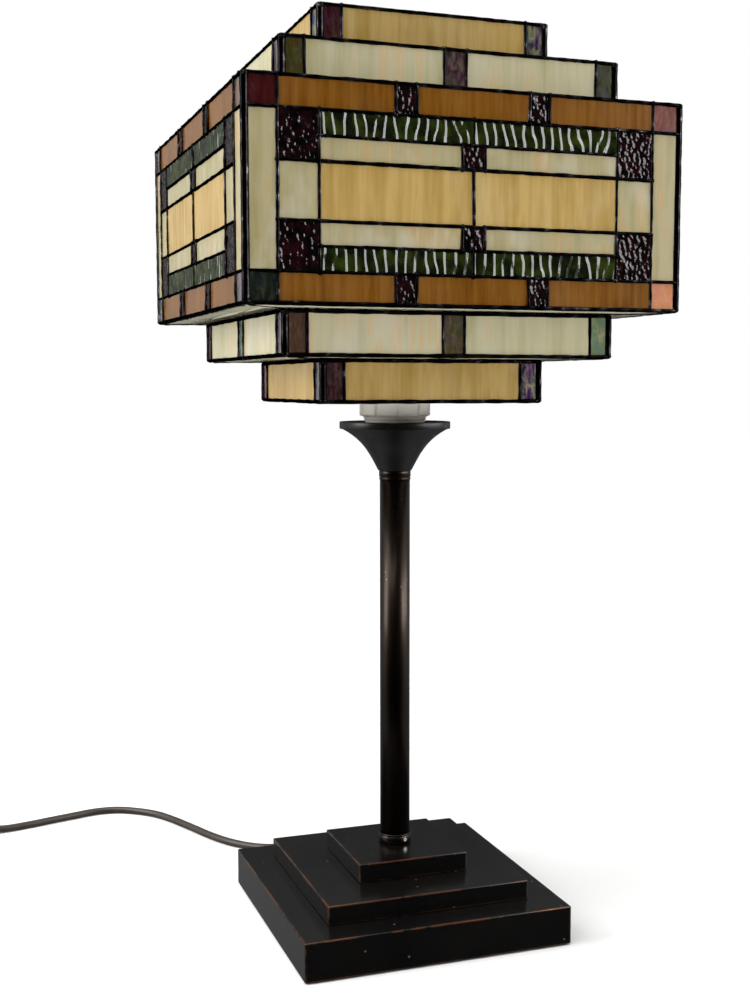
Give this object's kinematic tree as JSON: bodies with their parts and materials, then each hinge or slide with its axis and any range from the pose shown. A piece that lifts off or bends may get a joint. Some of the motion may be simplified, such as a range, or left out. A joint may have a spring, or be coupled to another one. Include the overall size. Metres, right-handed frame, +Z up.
{
  "type": "stained glass table lamp",
  "caption": "Table lamp with a square stepped leaded glass shade on a flared cup, slim stem and three-step square base, with cord, in-line switch and plug.",
  "frame": {"origin": "middle of the base's underside, on the table", "axes": "+Z up along the stem, front wall of the shade faces -Y, cord leaves the base towards +Y"},
  "size_m": [0.55, 0.4197, 0.5795],
  "materials": {
    "black_bronze_paint": "gloss, worn to copper brown along the edges",
    "bronze_stem": "glossy dark bronze lacquer",
    "brass": "satin",
    "plated_steel": "zinc plated",
    "nickel": "bright nickel",
    "ballast_iron": "raw casting",
    "cover_board": "dark hardboard",
    "felt": "wool felt",
    "holder_white": "moulded white thermoset",
    "solder": "black patina solder with a grey sheen",
    "honey_glass": "streaky opalescent",
    "cream_glass": "streaky opalescent",
    "amber_glass": "wispy amber-brown",
    "ripple_glass": "rolled ripple, dark olive",
    "hammered_glass": "hammered, dark plum",
    "accent_glass": "iridised opaque",
    "ledge_glass": "pale opalescent, glossy",
    "bulb_glass": "clear blown",
    "filament": "phosphor coated",
    "cord_pvc": "dark brown PVC",
    "black_plastic": "moulded black",
    "rocker_plastic": "moulded pale grey",
    "tie_strap": "woven hook and loop"
  },
  "bodies": {
    "stand": {"base_tier_bottom": "black_bronze_paint", "base_tier_middle": "black_bronze_paint", "base_tier_top": "black_bronze_paint", "base_ballast": "ballast_iron", "base_cover": "cover_board", "base_felt": "felt", "base_screws": "plated_steel", "stem_tube": "bronze_stem", "stem_foot_collar": "bronze_stem", "foot_grub_screw": "nickel", "stem_neck_collar": "bronze_stem", "threaded_rod": "brass", "rod_washer": "plated_steel", "rod_nut": "brass", "flared_cup": "black_bronze_paint", "cup_locknut": "brass", "holder_dome": "holder_white", "holder_shell": "holder_white", "holder_insert": "holder_white", "holder_screw_shell": "brass", "centre_contact": "brass", "inner_flex": "cord_pvc", "cord_grommet": "black_plastic", "cord_lead": "cord_pvc", "cord_link": "cord_pvc", "cord_tail": "cord_pvc", "cord_coil": "cord_pvc", "coil_tie": "tie_strap", "switch_base": "black_plastic", "switch_cover": "black_plastic", "switch_screws": "plated_steel", "plug_body": "black_plastic", "plug_pins": "nickel"},
    "shade_ring": {"shade_ring": "holder_white"},
    "shade": {"shade_spider": "brass", "came_hem": "solder", "came_lower": "solder", "came_main": "solder", "came_upper": "solder", "came_crown": "solder", "corner_beads": "solder", "ledge_beads": "solder", "ledge_hem": "ledge_glass", "ledge_lower": "ledge_glass", "ledge_upper": "ledge_glass", "ledge_crown": "ledge_glass", "glass_honey": "honey_glass", "glass_cream_main": "cream_glass", "glass_cream_tiers": "cream_glass", "glass_amber": "amber_glass", "glass_ripple": "ripple_glass", "glass_hammered": "hammered_glass", "glass_accent_main": "accent_glass", "glass_accent_tiers": "accent_glass"},
    "bulb": {"bulb_glass": "bulb_glass", "bulb_cap": "nickel", "bulb_contact": "brass", "led_filaments": "filament"},
    "switch_rocker": {"switch_rocker": "rocker_plastic"}
  },
  "joints": [
    {"name": "shade_lift", "type": "slide", "parent": "stand", "child": "shade_ring", "axis": [0, 0, 1], "range_m": [0, 0.1]},
    {"name": "shade_swivel", "type": "hinge", "parent": "shade_ring", "child": "shade", "pos_m": [0, 0, 0.35], "axis": [0, 0, 1], "continuous": true},
    {"name": "bulb_unscrew", "type": "hinge", "parent": "stand", "child": "bulb", "pos_m": [0, 0, 0.35], "axis": [0, 0, 1], "range_deg": [0, 900]},
    {"name": "switch_tip", "type": "hinge", "parent": "stand", "child": "switch_rocker", "pos_m": [-0.299, 0.2615, 0.0126], "axis": [0, -1, 0], "range_deg": [0, 16]}
  ]
}
